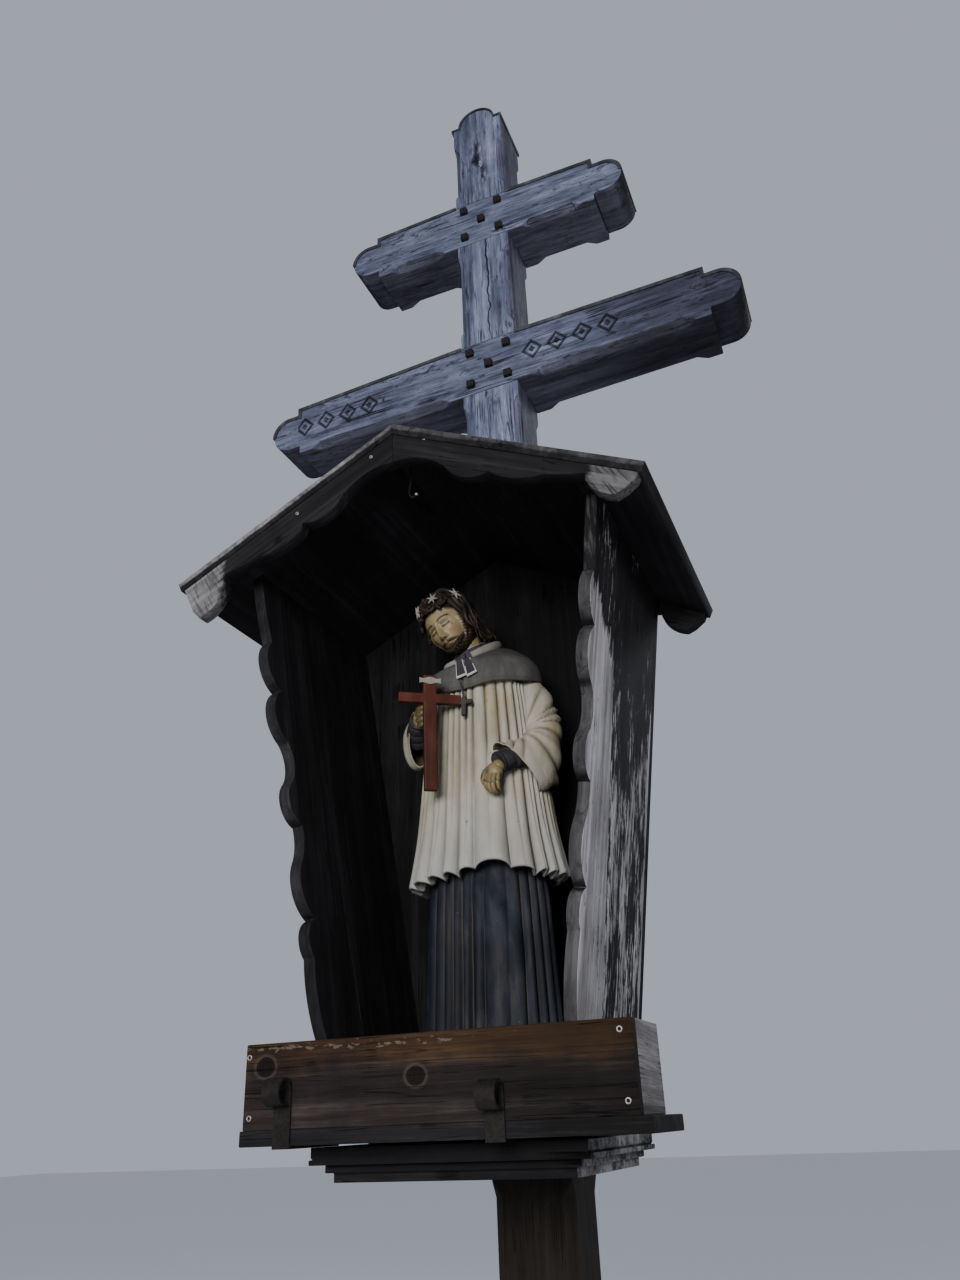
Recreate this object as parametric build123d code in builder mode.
from build123d import *
import math
import os

# A wayside shrine: a tall post that ends in a double-barred cross, with a roofed niche
# hung on its front, a carved figure in the niche and a planter below.
# Origin: centre of the post's foot at ground level. X is right, Y is back, Z is up.
# All sizes are in millimetres.

# Post and cross
post_width = 180
shaft_above_beam = 388
head_radius = 64
chamfer_leg = 22
stop_run = 34
joint_margin = 42

beam_depth = 180
upper_beam_rise = 630
upper_beam_height = 188
upper_beam_reach = 389
lower_beam_rise = 596
lower_beam_height = 194
lower_beam_reach = 678
lower_beam_tilt = 2.0
beam_top_fall = 0.026
shoulder_step = 28
nose_length = 97

peg_side = 24
peg_spread_x = 61
peg_spread_z = 61
peg_proud = 12

# Sheet metal on the cross
sheet = 3
sheet_overhang = 5
sheet_lip = 9
flashing_upstand = 14

# Roof
roof_rise = 0.5
roof_half_span = 550
roof_front = -737
roof_back = -43
roof_board = 24
bargeboard = 30
bargeboard_setback = 3
bargeboard_short = 17
bargeboard_hang = {-1: 108, 1: 62}
bargeboard_hollow = {-1: 37, 1: 22}

# Niche
niche_bottom = 1445
head_room = 194
niche_foot_half_width = 238.6
wall_splay = 0.155
wall_lean = 0.079
wall_front_at_foot = -525.8
front_plank_width = 156
plank = 26
back_board = 24
sill_thickness = 30
sill_overhang = 31
sill_lip = 9
sill_groove = 4
moulding_height = 30
moulding_setback = 20

# Planter
planter_half_length = 380
planter_front = -598
planter_depth = 180
planter_board = 25
planter_floor_board = 27
planter_side_height = 149
planter_floor_tail_right = 20
planter_floor_tail_left = 6
planter_floor_back = -374

# Iron brackets
iron_thickness = 5
iron_width = 36
iron_roll = 24
iron_leg = 178
iron_left_inset = 88
iron_left_drop = 62
iron_middle_inset = 251
iron_middle_drop = 84

# Figure
figure_y = -270
figure_sides = 16
garment_folds = 15
plinth_width = 300
plinth_depth = 200
plinth_height = 60
plinth_corner = 40
plinth_bevel = 10

cassock_height = 440
cassock_foot_half_width = 152
cassock_foot_half_depth = 100
cassock_half_width = 138
cassock_half_depth = 96
cassock_fold = 10

surplice_height = 455
hem_half_width = 182
hem_half_depth = 128
hem_fold = 15
hip_drop = 280
hip_half_width = 160
hip_half_depth = 116
hip_fold = 9
chest_drop = 110
chest_half_width = 142
chest_half_depth = 104
shoulder_half_width = 128
shoulder_half_depth = 92
shoulder_fold = 4

cape_height = 90
cape_overlap = 14
cape_half_width = 151
cape_half_depth = 113
cape_bend_rise = 38
cape_bend_half_width = 134
cape_bend_half_depth = 100
collar_x = -10
collar_y = -10
collar_half_width = 70
collar_half_depth = 64
collar_roll = 12
collar_rise_right = 0.31
collar_rise_back = 0.5

neck_half_width = 38
neck_half_depth = 40
head_x = -62
head_y = -42
head_rise = 108
head_half_width = 62
head_half_depth = 74
head_half_height = 96
head_tilt = 14
head_bow = 12
hair_thickness = 13
hairline_rise = 46
ear_line = 14
wreath_rise = 58
wreath_tilt = 26
wreath_half_width = 76
wreath_half_depth = 80
wreath_thickness = 5
wreath_width = 8
star_count = 5
star_spacing = 50
star_radius = 17
star_thickness = 4

# Limbs, as levels of (x, depth from the figure's middle, height from the shoulder, half
# width, half height).
right_sleeve = [
    (-100, 8, 20, 34, 34),
    (-134, 2, -35, 40, 42),
    (-152, -22, -98, 40, 49),
    (-145, -55, -117, 36, 56),
    (-114, -104, -107, 32, 67),
]
left_sleeve = [
    (108, 8, 12, 36, 36),
    (139, 4, -55, 44, 44),
    (155, -10, -138, 46, 50),
    (148, -46, -203, 42, 58),
    (116, -108, -230, 36, 64),
]
right_hand = [
    (-128, -86, -100, 28, 28),
    (-108, -116, -88, 24, 25),
    (-94, -132, -84, 22, 28),
    (-72, -154, -82, 13, 26),
]
left_hand = [
    (120, -84, -196, 31, 31),
    (97, -120, -217, 27, 27),
    (82, -133, -240, 24, 20),
    (71, -147, -268, 22, 13),
    (74, -140, -298, 18, 9),
]

crucifix_x = -60
crucifix_y = -160
crucifix_height = 269
crucifix_drop = 133
crucifix_span = 144
crucifix_bar_drop = 53
crucifix_side = 30
crucifix_bar = 22
crucifix_thickness = 16
scroll_width = 50
scroll_height = 14
scroll_thickness = 4

pectoral_x = 8
pectoral_drop = 66
pectoral_height = 50
pectoral_span = 41
pectoral_side = 11
pectoral_proud = 14
band_width = 20
band_height = 52
band_spread = 25
band_x = -13
band_slant = 27
band_thickness = 6

half_post = post_width / 2
slope = math.atan(roof_rise)
roof_board_drop = roof_board / math.cos(slope)
back_wall_front = -half_post - back_board
sill_bottom = niche_bottom - sill_thickness - moulding_height
planter_bottom = niche_bottom + iron_thickness
planter_floor_top = planter_bottom + planter_floor_board
planter_top = planter_floor_top + planter_side_height
planter_back = planter_front + planter_depth
foot_z = niche_bottom + plinth_height
hem_z = foot_z + cassock_height
shoulder_z = hem_z + surplice_height
neck_z = shoulder_z + cape_height
head_z = neck_z + head_rise
roof_apex = head_z + head_half_height + head_room
roof_underside = roof_apex - roof_board_drop
lower_beam_bottom = roof_apex + lower_beam_rise
lower_beam_top = lower_beam_bottom + lower_beam_height
upper_beam_bottom = lower_beam_bottom + upper_beam_rise
upper_beam_top = upper_beam_bottom + upper_beam_height
shaft_top = upper_beam_top + shaft_above_beam

os.makedirs("parts", exist_ok=True)


def save(builder, name):
    """Label a finished piece and write it."""
    builder.part.label = name
    export_step(builder.part, f"parts/{name}.step")


def facing(y):
    """Sketch plane across the shrine at depth y, extruded towards the front."""
    return Plane.XZ.offset(-y)


def wall_x(z):
    """Outer face of the right side wall at height z."""
    return niche_foot_half_width + wall_splay * (z - niche_bottom)


def roof_z(x):
    """Underside of the roof boards at x."""
    return roof_underside - roof_rise * abs(x)


# Cross beams

def beam_face(bottom, height, reach, tilt):
    """Front outline of a cross beam: shoulders, rounded noses and a top that falls outwards."""
    nose_low = bottom + shoulder_step
    nose_high = bottom + height - beam_top_fall * reach - shoulder_step
    nose_radius = (nose_high - nose_low) / 2
    nose_start = reach + nose_length - nose_radius
    with BuildSketch(Plane.XZ) as face:
        for side in (-1, 1):
            with BuildLine():
                Polyline(
                    (0, bottom + height),
                    (0, bottom),
                    (side * reach, bottom),
                    (side * reach, nose_low),
                    (side * nose_start, nose_low),
                )
                ThreePointArc(
                    (side * nose_start, nose_low),
                    (side * (nose_start + nose_radius), (nose_low + nose_high) / 2),
                    (side * nose_start, nose_high),
                )
                Polyline(
                    (side * nose_start, nose_high),
                    (side * reach, nose_high),
                    (side * reach, bottom + height - beam_top_fall * reach),
                    (0, bottom + height),
                )
            make_face()
    middle = Axis((0, 0, bottom + height / 2), (0, -1, 0))
    return face.sketch.rotate(middle, tilt)


def stopped_chamfer(corner, outward, along, start, end):
    """Cut a chamfer along one edge, with a sloping stop at each end."""
    depth = chamfer_leg / math.sqrt(2)
    plane = Plane(origin=corner, x_dir=outward, z_dir=outward.cross(along))
    with BuildSketch(plane) as cut:
        with BuildLine():
            Polyline(
                (depth, start),
                (0, start),
                (-depth, start + stop_run),
                (-depth, end - stop_run),
                (0, end),
                (depth, end),
                close=True,
            )
        make_face()
    extrude(cut.sketch, amount=2 * depth, both=True, mode=Mode.SUBTRACT)


upper_face = beam_face(upper_beam_bottom, upper_beam_height, upper_beam_reach, 0)
lower_face = beam_face(lower_beam_bottom, lower_beam_height, lower_beam_reach, lower_beam_tilt)
beams = {
    "upper": (upper_face, upper_beam_bottom, upper_beam_height, upper_beam_reach, 0),
    "lower": (lower_face, lower_beam_bottom, lower_beam_height, lower_beam_reach, lower_beam_tilt),
}

notches = {}
pegs = {}
for level, (face, bottom, height, reach, tilt) in beams.items():
    with BuildPart() as notch:
        with BuildSketch(facing(0)):
            add(face)
        extrude(amount=half_post)
    notches[level] = notch.part

    middle = bottom + height / 2
    with BuildPart() as joint_pegs:
        with BuildSketch(facing(half_post)):
            with Locations((0, middle)):
                Rectangle(peg_side, peg_side)
                with GridLocations(2 * peg_spread_x, 2 * peg_spread_z, 2, 2):
                    Rectangle(peg_side, peg_side)
        extrude(amount=post_width + peg_proud)
    pegs[level] = joint_pegs.part
    save(joint_pegs, f"{level}_joint_pegs")

    centre = Plane(origin=(0, 0, middle), x_dir=(1, 0, 0), z_dir=(0, 0, 1)).rotated((0, -tilt, 0))
    with BuildPart() as beam:
        with BuildSketch(facing(half_post)):
            add(face)
        extrude(amount=beam_depth)
        with BuildSketch(facing(half_post)):
            with Locations((0, middle)):
                Rectangle(post_width, 2 * height)
        extrude(amount=half_post, mode=Mode.SUBTRACT)
        along = centre.x_dir
        for side in (-1, 1):
            for depth_side in (-1, 1):
                outward = (centre.z_dir * -1 + Vector(0, depth_side, 0)).normalized()
                corner = Vector(0, depth_side * half_post, middle) - centre.z_dir * (height / 2)
                near = half_post + joint_margin
                far = reach - joint_margin
                start, end = (near, far) if side > 0 else (-far, -near)
                stopped_chamfer(corner, outward, along, start, end)
        add(pegs[level], mode=Mode.SUBTRACT)
    save(beam, f"{level}_crossbeam")

# Flashings: a sheet on each arm that follows its shoulder and nose, with a folded lip
# front and back and an upstand against the post.
for level, (face, bottom, height, reach, tilt) in beams.items():
    tip = reach + nose_length + 2 * sheet
    nose_middle = bottom + (height - beam_top_fall * reach) / 2
    for side_name, side in (("left", -1), ("right", 1)):
        rise = side * math.tan(math.radians(tilt))
        with BuildSketch(Plane.XZ) as arm:
            with BuildLine():
                Polyline(
                    (side * half_post, nose_middle),
                    (side * tip, nose_middle + rise * tip),
                    (side * tip, bottom + height + rise * tip),
                    (side * half_post, bottom + height + rise * half_post + 2 * sheet),
                    close=True,
                )
            make_face()
        root = bottom + height + side * half_post * math.tan(math.radians(tilt))
        with BuildSketch(Plane.XZ) as skin:
            add(face)
            offset(amount=sheet, kind=Kind.INTERSECTION)
            add(face, mode=Mode.SUBTRACT)
            add(arm.sketch, mode=Mode.INTERSECT)
        with BuildSketch(Plane.XZ) as lip:
            add(face)
            offset(amount=sheet, kind=Kind.INTERSECTION)
            with BuildSketch(Plane.XZ, mode=Mode.SUBTRACT):
                add(face)
                offset(amount=-sheet_lip, kind=Kind.INTERSECTION)
            add(arm.sketch, mode=Mode.INTERSECT)
        with BuildPart() as flashing:
            with BuildSketch(facing(half_post + sheet_overhang)):
                add(skin.sketch)
            extrude(amount=beam_depth + 2 * sheet_overhang)
            with BuildSketch(facing(half_post - chamfer_leg)):
                with Locations((side * (half_post + sheet / 2), root + flashing_upstand / 2)):
                    Rectangle(sheet, flashing_upstand)
            extrude(amount=post_width - 2 * chamfer_leg)
            for back in (-half_post - sheet_overhang + sheet, half_post + sheet_overhang):
                with BuildSketch(facing(back)):
                    add(lip.sketch)
                extrude(amount=sheet)
        save(flashing, f"{level}_flashing_{side_name}")

# Post: one timber from the ground to the rounded head, notched for the beams.
with BuildSketch(Plane.XZ) as post_face:
    with BuildLine():
        Polyline(
            (-head_radius, shaft_top),
            (-half_post, shaft_top),
            (-half_post, 0),
            (half_post, 0),
            (half_post, shaft_top),
            (head_radius, shaft_top),
        )
        ThreePointArc((head_radius, shaft_top), (0, shaft_top + head_radius), (-head_radius, shaft_top))
    make_face()

post_runs = [
    (160, sill_bottom - joint_margin / 2),
    (roof_apex + joint_margin, lower_beam_bottom - joint_margin),
    (lower_beam_top + joint_margin, upper_beam_bottom - joint_margin),
    (upper_beam_top + joint_margin, shaft_top - 2 * joint_margin),
]

with BuildPart() as post:
    with BuildSketch(facing(half_post)):
        add(post_face.sketch)
    extrude(amount=post_width)
    for notch in notches.values():
        add(notch, mode=Mode.SUBTRACT)
    for joint_peg in pegs.values():
        add(joint_peg, mode=Mode.SUBTRACT)
    for side_x in (-1, 1):
        for side_y in (-1, 1):
            outward = Vector(side_x, side_y, 0).normalized()
            corner = Vector(side_x * half_post, side_y * half_post, 0)
            for start, end in post_runs:
                stopped_chamfer(corner, outward, Vector(0, 0, 1), start, end)
save(post, "post")

# Post cap: a sheet over the rounded head and its two shoulders.
with BuildSketch(Plane.XZ) as cap_face:
    add(post_face.sketch)
    offset(amount=sheet_overhang, kind=Kind.INTERSECTION)
    with BuildSketch(Plane.XZ, mode=Mode.SUBTRACT):
        add(post_face.sketch)
    with BuildSketch(Plane.XZ, mode=Mode.INTERSECT):
        with Locations((0, shaft_top - sheet_lip + post_width)):
            Rectangle(2 * post_width, 2 * post_width)
with BuildPart() as post_cap:
    with BuildSketch(facing(half_post + sheet_overhang)):
        add(cap_face.sketch)
    extrude(amount=post_width + 2 * sheet_overhang)
save(post_cap, "post_cap")


# Roof

for side_name, side in (("left", -1), ("right", 1)):
    with BuildPart() as roof_boards:
        with BuildSketch(facing(roof_back)):
            with BuildLine():
                Polyline(
                    (0, roof_apex),
                    (side * roof_half_span, roof_apex - roof_rise * roof_half_span),
                    (
                        side * (roof_half_span - roof_board * math.sin(slope)),
                        roof_apex - roof_rise * roof_half_span - roof_board * math.cos(slope),
                    ),
                    (0, roof_underside),
                    close=True,
                )
            make_face()
        extrude(amount=roof_back - roof_front)
        with BuildSketch(facing(half_post)):
            with Locations((0, roof_apex)):
                Rectangle(post_width, 4 * post_width)
        extrude(amount=post_width, mode=Mode.SUBTRACT)
    save(roof_boards, f"roof_boards_{side_name}")


def bargeboard_outline(side):
    """Lobed outline. Each point is (distance from the ridge, drop below the roof boards)."""

    def at(from_ridge, drop):
        return (side * from_ridge, roof_z(from_ridge) - drop)

    end = roof_half_span - bargeboard_short
    hang = bargeboard_hang[side]
    hollow = bargeboard_hollow[side]
    lobe_end = at(end - 50, hang)
    lobe_start = at(end - 107, 0.62 * hang)
    with BuildSketch(Plane.XZ) as outline:
        with BuildLine():
            # Seat under the roof boards, then the lobe that hangs at the eave
            Polyline(at(0, 76), at(0, 0), at(end, 0), at(end - 6, 15), at(end - 30, 0.71 * hang), lobe_end)
            ThreePointArc(lobe_end, at(end - 93, 0.92 * hang), lobe_start)
            Line(lobe_start, at(end - 105, hollow))
            # Hollow, long lobe and cusp
            ThreePointArc(at(end - 105, hollow), at(end - 148, hollow + 12), at(end - 191, hollow + 20))
            ThreePointArc(at(end - 191, hollow + 20), at(end - 255, hollow + 42), at(228, hollow + 38))
            Line(at(228, hollow + 38), at(224, 57))
            # Small lobe, notch and the crown arch at the ridge
            ThreePointArc(at(224, 57), at(172, 83), at(133, 73))
            Line(at(133, 73), at(126, 66))
            ThreePointArc(at(126, 66), at(78, 51), at(0, 76))
        make_face()
    return outline.sketch


for side_name, side in (("left", -1), ("right", 1)):
    with BuildPart() as front_board:
        with BuildSketch(facing(roof_front + bargeboard_setback + bargeboard)):
            add(bargeboard_outline(side))
        extrude(amount=bargeboard)
    save(front_board, f"front_bargeboard_{side_name}")

    with BuildPart() as back_bargeboard:
        with BuildSketch(facing(roof_back - bargeboard_setback)):
            add(bargeboard_outline(side))
            with Locations((0, roof_underside)):
                Rectangle(post_width, 2 * post_width, mode=Mode.SUBTRACT)
        extrude(amount=bargeboard)
    save(back_bargeboard, f"back_bargeboard_{side_name}")

# Niche

wall_rise = math.hypot(1, wall_splay)
wall_inward = Vector(-1, 0, wall_splay).normalized()
wall_plane = Plane(origin=(niche_foot_half_width, 0, niche_bottom), x_dir=(0, -1, 0), z_dir=wall_inward)
roof_cut = Plane(origin=(0, 0, roof_underside), z_dir=(math.sin(slope), 0, math.cos(slope)))


def wall_point(y_offset, height):
    """Place in the side wall's plane, y_offset behind its leaning front line."""
    y = wall_front_at_foot - wall_lean * height + y_offset
    return (-y, height * wall_rise)


eave_z = (roof_underside - roof_rise * (niche_foot_half_width - wall_splay * niche_bottom)) / (
    1 + roof_rise * wall_splay
)
wall_height = eave_z + plank - niche_bottom
front_plank_foot = planter_top - niche_bottom

# The front planks' edge as (share of the way up from the foot, depth behind the front line):
# every second point lies halfway along a lobe or a hollow, and the others are its ends.
plank_edge = [
    (1.0, 0), (0.891, -8), (0.814, 0), (0.752, -28), (0.702, 12), (0.643, -26), (0.586, 8),
    (0.54, 26), (0.495, 3), (0.455, -16), (0.409, 24), (0.366, 20), (0.33, 0), (0.278, -14),
    (0.223, 26), (0.193, -8), (0.147, 0), (0.071, -8), (0.0, 6),
]
edge_rise = wall_height - front_plank_foot
edge_points = [wall_point(depth, front_plank_foot + share * edge_rise) for share, depth in plank_edge]
with BuildPart() as right_front:
    with BuildSketch(wall_plane):
        with BuildLine():
            for i in range(0, len(edge_points) - 1, 2):
                ThreePointArc(*edge_points[i:i + 3])
            Polyline(
                edge_points[-1],
                wall_point(front_plank_width, front_plank_foot),
                wall_point(front_plank_width, wall_height),
                edge_points[0],
            )
        make_face()
    extrude(amount=plank)
    split(bisect_by=roof_cut, keep=Keep.BOTTOM)
save(right_front, "side_wall_right_front")

with BuildPart() as right_rear:
    with BuildSketch(wall_plane):
        with BuildLine():
            Polyline(
                wall_point(front_plank_width, -plank),
                wall_point(front_plank_width, wall_height),
                (-back_wall_front, wall_height * wall_rise),
                (-back_wall_front, -plank * wall_rise),
                close=True,
            )
        make_face()
    extrude(amount=plank)
    split(bisect_by=roof_cut, keep=Keep.BOTTOM)
    split(bisect_by=Plane.XY.offset(niche_bottom), keep=Keep.TOP)
save(right_rear, "side_wall_right_rear")

with BuildPart() as left_front:
    mirror(right_front.part, about=Plane.YZ)
save(left_front, "side_wall_left_front")

with BuildPart() as left_rear:
    mirror(right_rear.part, about=Plane.YZ)
save(left_rear, "side_wall_left_rear")

with BuildPart() as back_wall:
    with BuildSketch(facing(-half_post)):
        with BuildLine():
            Polyline(
                (-niche_foot_half_width, niche_bottom),
                (niche_foot_half_width, niche_bottom),
                (wall_x(eave_z), eave_z),
                (0, roof_underside),
                (-wall_x(eave_z), eave_z),
                close=True,
            )
        make_face()
    extrude(amount=back_board)
save(back_wall, "back_wall")

# Sill: the niche's floor board, with a groove and a lip round its lower edge.
sill_half = niche_foot_half_width + sill_overhang
sill_front = wall_front_at_foot - 9
with BuildPart() as niche_floor:
    with BuildSketch(facing(-half_post)):
        with BuildLine():
            lip_top = niche_bottom - sill_thickness + sill_lip
            Polyline(
                (-sill_half, niche_bottom),
                (-sill_half, lip_top + sill_groove),
                (-sill_half + sill_groove, lip_top),
                (-sill_half - sill_groove, lip_top),
                (-sill_half - sill_groove, niche_bottom - sill_thickness),
                (sill_half + sill_groove, niche_bottom - sill_thickness),
                (sill_half + sill_groove, lip_top),
                (sill_half - sill_groove, lip_top),
                (sill_half, lip_top + sill_groove),
                (sill_half, niche_bottom),
                close=True,
            )
        make_face()
    extrude(amount=-half_post - sill_front)
save(niche_floor, "niche_floor")

with BuildPart() as sill_moulding:
    top = niche_bottom - sill_thickness
    for height_from, height_to, setback in ((0, 0.45, 1.0), (0.45, 1.0, 1.6)):
        with BuildSketch(Plane.XY.offset(top - height_from * moulding_height)):
            half = sill_half - setback * moulding_setback
            front = sill_front + setback * moulding_setback
            with Locations((0, (front - half_post) / 2)):
                Rectangle(2 * half, -half_post - front)
        extrude(amount=-(height_to - height_from) * moulding_height)
save(sill_moulding, "sill_moulding")


# Planter

def board_between(name, x_range, y_range, z_range):
    """A plain board given by its limits."""
    with BuildPart() as board:
        with BuildSketch(Plane.XY.offset(z_range[0])):
            with Locations(((x_range[0] + x_range[1]) / 2, (y_range[0] + y_range[1]) / 2)):
                Rectangle(x_range[1] - x_range[0], y_range[1] - y_range[0])
        extrude(amount=z_range[1] - z_range[0])
    save(board, name)


side_z = (planter_floor_top, planter_top)
inner_front = planter_front + planter_board
inner_half = planter_half_length - planter_board
inner_back = planter_back - planter_board
outer_half = planter_half_length
board_between("planter_front", (-outer_half, outer_half), (planter_front, inner_front), side_z)
board_between("planter_left_end", (-outer_half, -inner_half), (inner_front, planter_back), side_z)
board_between("planter_right_end", (inner_half, outer_half), (inner_front, planter_back), side_z)
board_between("planter_back", (-inner_half, inner_half), (inner_back, planter_back), side_z)
board_between(
    "planter_floor",
    (-planter_half_length - planter_floor_tail_left, planter_half_length + planter_floor_tail_right),
    (planter_front, planter_floor_back),
    (planter_bottom, planter_floor_top),
)

# Iron brackets: flat bar under the planter and up its front, rolled forward at the top.
iron_places = {
    "iron_bracket_left": (iron_left_inset - planter_half_length, iron_left_drop),
    "iron_bracket_middle": (planter_half_length - iron_middle_inset, iron_middle_drop),
}
for name, (place, drop) in iron_places.items():
    middle_radius = iron_roll - iron_thickness / 2
    bar = planter_front - iron_thickness / 2
    under = planter_bottom - iron_thickness / 2
    roll_z = planter_top - drop - iron_roll
    with BuildPart() as bracket:
        with BuildSketch(Plane.YZ.offset(place - iron_width / 2)):
            with BuildLine() as path:
                Line((bar + iron_leg, under), (bar, under))
                Line((bar, under), (bar, roll_z))
                CenterArc((bar - middle_radius, roll_z), middle_radius, 0, 290)
            trace(path.line, line_width=iron_thickness)
        extrude(amount=iron_width)
    save(bracket, name)


# Figure: carved in flat facets and pleats

def oval(plane, half_x, half_y, sides=figure_sides, fold=0.0):
    """A many-sided oval on a plane. With a fold, every second corner is a pleat's valley."""
    corners = []
    for i in range(sides):
        around = 2 * math.pi * i / sides
        inset = fold * (i % 2)
        corners.append(((half_x - inset) * math.cos(around), (half_y - inset) * math.sin(around)))
    with BuildSketch(plane) as level:
        with BuildLine():
            Polyline(*corners, close=True)
        make_face()
    return level.sketch


def pleated(z, half_width, half_depth, fold):
    """One level of a pleated garment about the figure's middle."""
    return oval(Plane((0, figure_y, z)), half_width, half_depth, 2 * garment_folds, fold)


def limb(levels):
    """Sections across a bent limb, each turned to face along it."""
    places = [Vector(x, figure_y + y, shoulder_z + z) for x, y, z, half_width, half_height in levels]
    sections = []
    for i, (x, y, z, half_width, half_height) in enumerate(levels):
        along = places[min(i + 1, len(places) - 1)] - places[max(i - 1, 0)]
        plane = Plane(origin=places[i], x_dir=along.cross(Vector(1, 0, 0)), z_dir=along)
        sections.append(oval(plane, half_height, half_width))
    return sections


def egg(place, half_width, half_depth, half_height):
    """Sections up a head, or up the hair over it."""
    sections = []
    for share, swell in ((-1.0, 0.36), (-0.72, 0.74), (-0.25, 0.97), (0.3, 1.0), (0.72, 0.80), (1.0, 0.34)):
        level = Plane(place).offset(share * half_height)
        sections.append(oval(level, swell * half_width, swell * half_depth))
    return sections


with BuildPart() as plinth:
    with BuildSketch(Plane.XY.offset(niche_bottom)):
        with Locations((0, figure_y)):
            RectangleRounded(plinth_width, plinth_depth, plinth_corner)
    extrude(amount=plinth_height)
    chamfer(plinth.faces().sort_by(Axis.Z)[-1].edges(), plinth_bevel)
save(plinth, "figure_plinth")

with BuildPart() as cassock:
    loft(
        sections=[
            pleated(foot_z, cassock_foot_half_width, cassock_foot_half_depth, cassock_fold),
            pleated(hem_z, cassock_half_width, cassock_half_depth, cassock_fold),
        ],
        ruled=True,
    )
save(cassock, "figure_cassock")

with BuildPart() as surplice:
    loft(
        sections=[
            pleated(hem_z, hem_half_width, hem_half_depth, hem_fold),
            pleated(shoulder_z - hip_drop, hip_half_width, hip_half_depth, hip_fold),
            pleated(shoulder_z - chest_drop, chest_half_width, chest_half_depth, shoulder_fold),
            pleated(shoulder_z, shoulder_half_width, shoulder_half_depth, shoulder_fold),
        ],
        ruled=True,
    )
save(surplice, "figure_surplice")

# The head leans to the figure's right and is bowed. The neck rises from the collar's seat.
head_place = Location((head_x, figure_y + head_y, head_z), (head_bow, -head_tilt, 0))
neck_top = Plane((head_x / 2, figure_y + head_y / 2, neck_z + head_rise / 2))
collar_seat = Plane(
    origin=(collar_x, figure_y + collar_y, neck_z),
    x_dir=(1, 0, collar_rise_right),
    z_dir=(-collar_rise_right, -collar_rise_back, 1),
)
with BuildPart() as head:
    loft(
        sections=[
            oval(collar_seat, neck_half_width, neck_half_depth),
            oval(neck_top, neck_half_width, neck_half_depth),
        ],
        ruled=True,
    )
    loft(sections=egg(head_place, head_half_width, head_half_depth, head_half_height), ruled=True)
save(head, "figure_head")

# Shoulder cape, drawn in under its rolled collar.
with BuildPart() as cape:
    inner_width = collar_half_width - collar_roll
    inner_depth = collar_half_depth - collar_roll
    bend = Plane((0, figure_y, shoulder_z + cape_bend_rise))
    loft(
        sections=[
            oval(Plane((0, figure_y, shoulder_z - cape_overlap)), cape_half_width, cape_half_depth),
            oval(bend, cape_bend_half_width, cape_bend_half_depth),
            oval(collar_seat.offset(-2 * collar_roll), inner_width, inner_depth),
            oval(collar_seat.offset(-collar_roll), collar_half_width, collar_half_depth),
            oval(collar_seat, collar_half_width, collar_half_depth),
            oval(collar_seat.offset(collar_roll), inner_width, inner_depth),
        ],
        ruled=True,
    )
    add(surplice.part, mode=Mode.SUBTRACT)
    add(head.part, mode=Mode.SUBTRACT)
save(cape, "figure_cape")

# Hair over the crown and the back of the head, down to the collar.
with BuildPart() as hair:
    hair_half_height = head_half_height + hair_thickness
    loft(
        sections=egg(
            head_place,
            head_half_width + hair_thickness,
            head_half_depth + hair_thickness,
            hair_half_height,
        ),
        ruled=True,
    )
    with BuildSketch(Plane(head_place).offset(hairline_rise)):
        with Locations((0, -ear_line - hair_half_height)):
            Rectangle(2 * hair_half_height, 2 * hair_half_height)
    extrude(amount=-2 * hair_half_height, mode=Mode.SUBTRACT)
    add(head.part, mode=Mode.SUBTRACT)
    add(cape.part, mode=Mode.SUBTRACT)
save(hair, "figure_hair")

# Ring of stars, let into the hair behind and standing off the forehead.
ring = Plane(head_place * Location((0, 0, wreath_rise), (-wreath_tilt, 0, 0)))
with BuildPart() as wreath:
    extrude(oval(ring, wreath_half_width, wreath_half_depth), amount=wreath_thickness)
    hollow = oval(ring, wreath_half_width - wreath_width, wreath_half_depth - wreath_width)
    extrude(hollow, amount=wreath_thickness, mode=Mode.SUBTRACT)
    for i in range(star_count):
        turn = (i - (star_count - 1) / 2) * star_spacing - 90
        across = (wreath_half_width - star_thickness) * math.cos(math.radians(turn))
        back = (wreath_half_depth - star_thickness) * math.sin(math.radians(turn))
        seat = Location((across, back, wreath_thickness / 2), (0, 0, turn))
        upright = Location((0, 0, 0), (0, 90, 0))
        with BuildSketch(Plane(ring.location * seat * upright)):
            RegularPolygon(star_radius, 3)
            RegularPolygon(star_radius, 3, rotation=60)
        extrude(amount=2 * star_thickness)
    add(hair.part, mode=Mode.SUBTRACT)
    add(head.part, mode=Mode.SUBTRACT)
save(wreath, "figure_star_wreath")

arms = {}
for name, levels in (("figure_right_sleeve", right_sleeve), ("figure_left_sleeve", left_sleeve)):
    with BuildPart() as arm:
        loft(sections=limb(levels), ruled=True)
        add(surplice.part, mode=Mode.SUBTRACT)
        add(cape.part, mode=Mode.SUBTRACT)
    arms[name] = arm.part
    save(arm, name)

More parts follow.
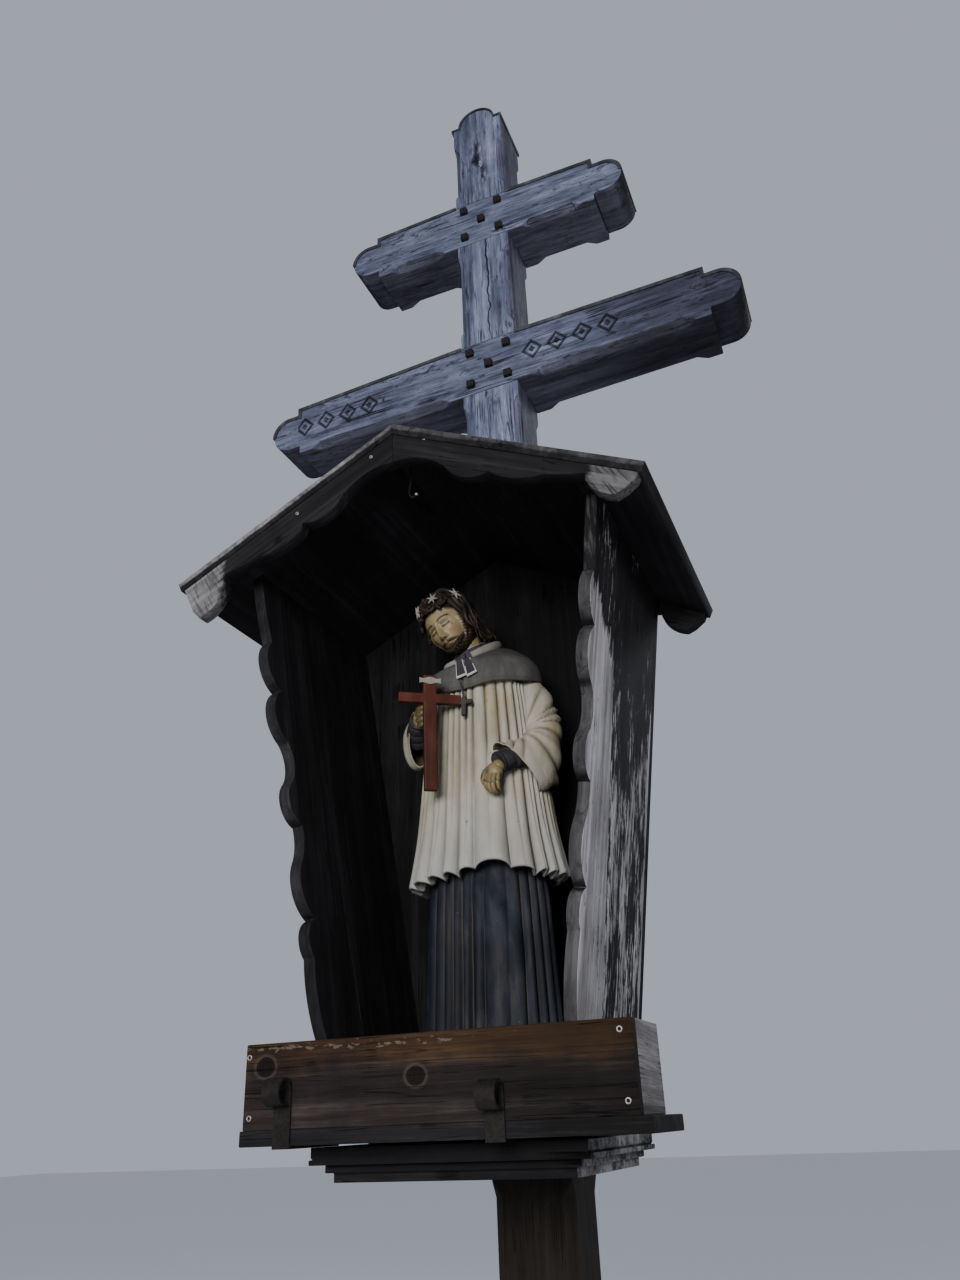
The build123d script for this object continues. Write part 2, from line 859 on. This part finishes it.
# Crucifix in the right hand, with a bare scroll above its bar.
crucifix_front = figure_y + crucifix_y - crucifix_thickness / 2
with BuildPart() as crucifix:
    with BuildSketch(facing(crucifix_front + crucifix_thickness)):
        with Locations((crucifix_x, shoulder_z - crucifix_drop)):
            Rectangle(crucifix_side, crucifix_height)
        with Locations((crucifix_x, shoulder_z - crucifix_bar_drop)):
            Rectangle(crucifix_span, crucifix_bar)
    extrude(amount=crucifix_thickness)
    with BuildSketch(facing(crucifix_front)):
        with Locations((crucifix_x, shoulder_z - crucifix_drop + crucifix_height / 2 - scroll_height)):
            Rectangle(scroll_width, scroll_height)
    extrude(amount=scroll_thickness)
save(crucifix, "figure_crucifix")

for name, levels in (("figure_right_hand", right_hand), ("figure_left_hand", left_hand)):
    with BuildPart() as hand:
        loft(sections=limb(levels), ruled=True)
        for neighbour in (crucifix.part, surplice.part, *arms.values()):
            add(neighbour, mode=Mode.SUBTRACT)
    save(hand, name)

with BuildPart() as pectoral_cross:
    with BuildSketch(facing(figure_y - shoulder_half_depth)):
        with Locations((pectoral_x, shoulder_z - pectoral_drop)):
            Rectangle(pectoral_side, pectoral_height)
            with Locations((0, pectoral_side)):
                Rectangle(pectoral_span, pectoral_side)
    extrude(amount=chest_half_depth - shoulder_half_depth + pectoral_proud)
    add(surplice.part, mode=Mode.SUBTRACT)
save(pectoral_cross, "figure_pectoral_cross")

# Two bands that hang from the collar over the cape's slope.
slant = math.radians(band_slant)
band_face = Plane(
    origin=(band_x, figure_y - cape_bend_half_depth, shoulder_z + cape_bend_rise),
    x_dir=(1, 0, 0),
    z_dir=(0, -math.cos(slant), math.sin(slant)),
)
with BuildPart() as bands:
    with BuildSketch(band_face.offset(-band_height)):
        with Locations((-band_spread / 2, band_height / 4), (band_spread / 2, band_height / 4)):
            Rectangle(band_width, band_height)
    extrude(amount=band_height + band_thickness)
    add(cape.part, mode=Mode.SUBTRACT)
    add(head.part, mode=Mode.SUBTRACT)
    add(surplice.part, mode=Mode.SUBTRACT)
save(bands, "figure_collar_bands")
